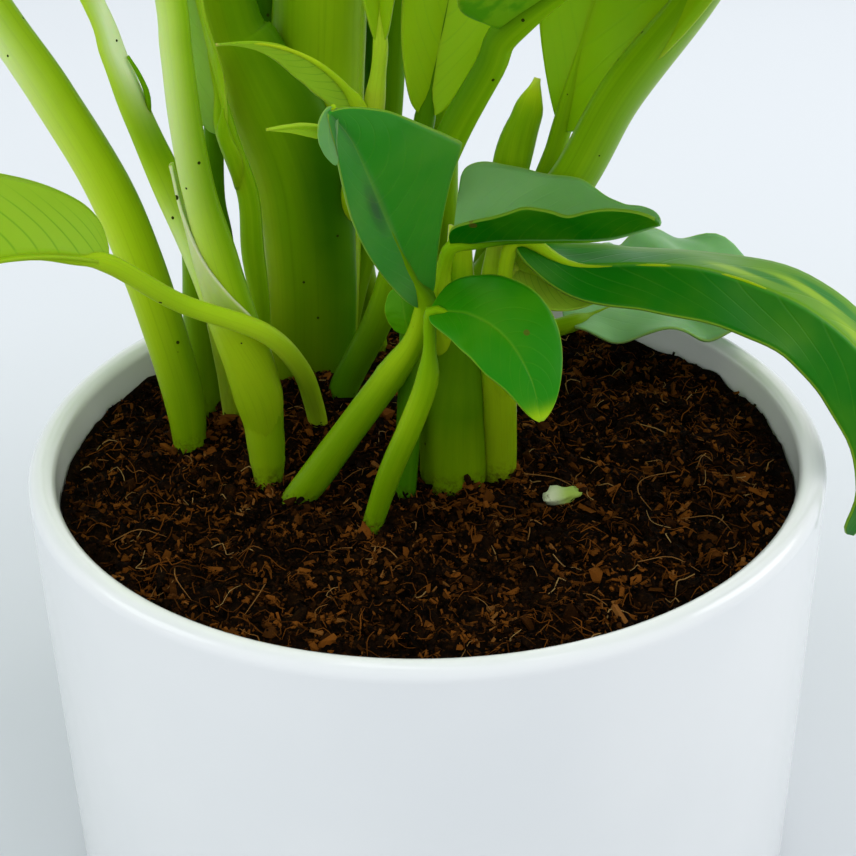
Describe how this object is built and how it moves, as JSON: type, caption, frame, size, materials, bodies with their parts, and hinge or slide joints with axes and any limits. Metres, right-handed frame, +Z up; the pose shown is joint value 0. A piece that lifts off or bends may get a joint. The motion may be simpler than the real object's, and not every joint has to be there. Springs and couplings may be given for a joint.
{
  "type": "potted dumb cane",
  "caption": "Leafy aroid with thick sheathed stems, arching stalks and oblong leaves, in coir soil in a round glazed white pot.",
  "frame": {"origin": "middle of the pot's flat bottom", "axes": "+Z up along the pot's axis; -Y towards the side that the picture shows; +X to the right as seen from there"},
  "size_m": [0.3906, 0.2856, 0.3881],
  "materials": {
    "glaze": "gloss",
    "coir": "matte",
    "stem": "satin",
    "young_leaf": "satin",
    "leaf": "satin",
    "shaded_leaf": "satin"
  },
  "bodies": {
    "root": {"pot": "glaze", "soil": "coir", "main_cane": "stem", "left_stem": "stem", "twin_stem": "stem", "back_left_stem": "shaded_leaf", "slim_stem": "young_leaf", "low_left_leaf": "young_leaf", "front_tall_leaf": "leaf", "front_small_leaf": "leaf", "slanting_stem": "stem", "pale_upright_leaf": "young_leaf", "right_cane": "stem", "arching_right_leaf": "leaf", "low_back_leaf": "shaded_leaf", "back_stem_a": "shaded_leaf", "back_stem_b": "shaded_leaf", "back_stem_c": "shaded_leaf", "leaf_scrap": "young_leaf"}
  },
  "joints": []
}
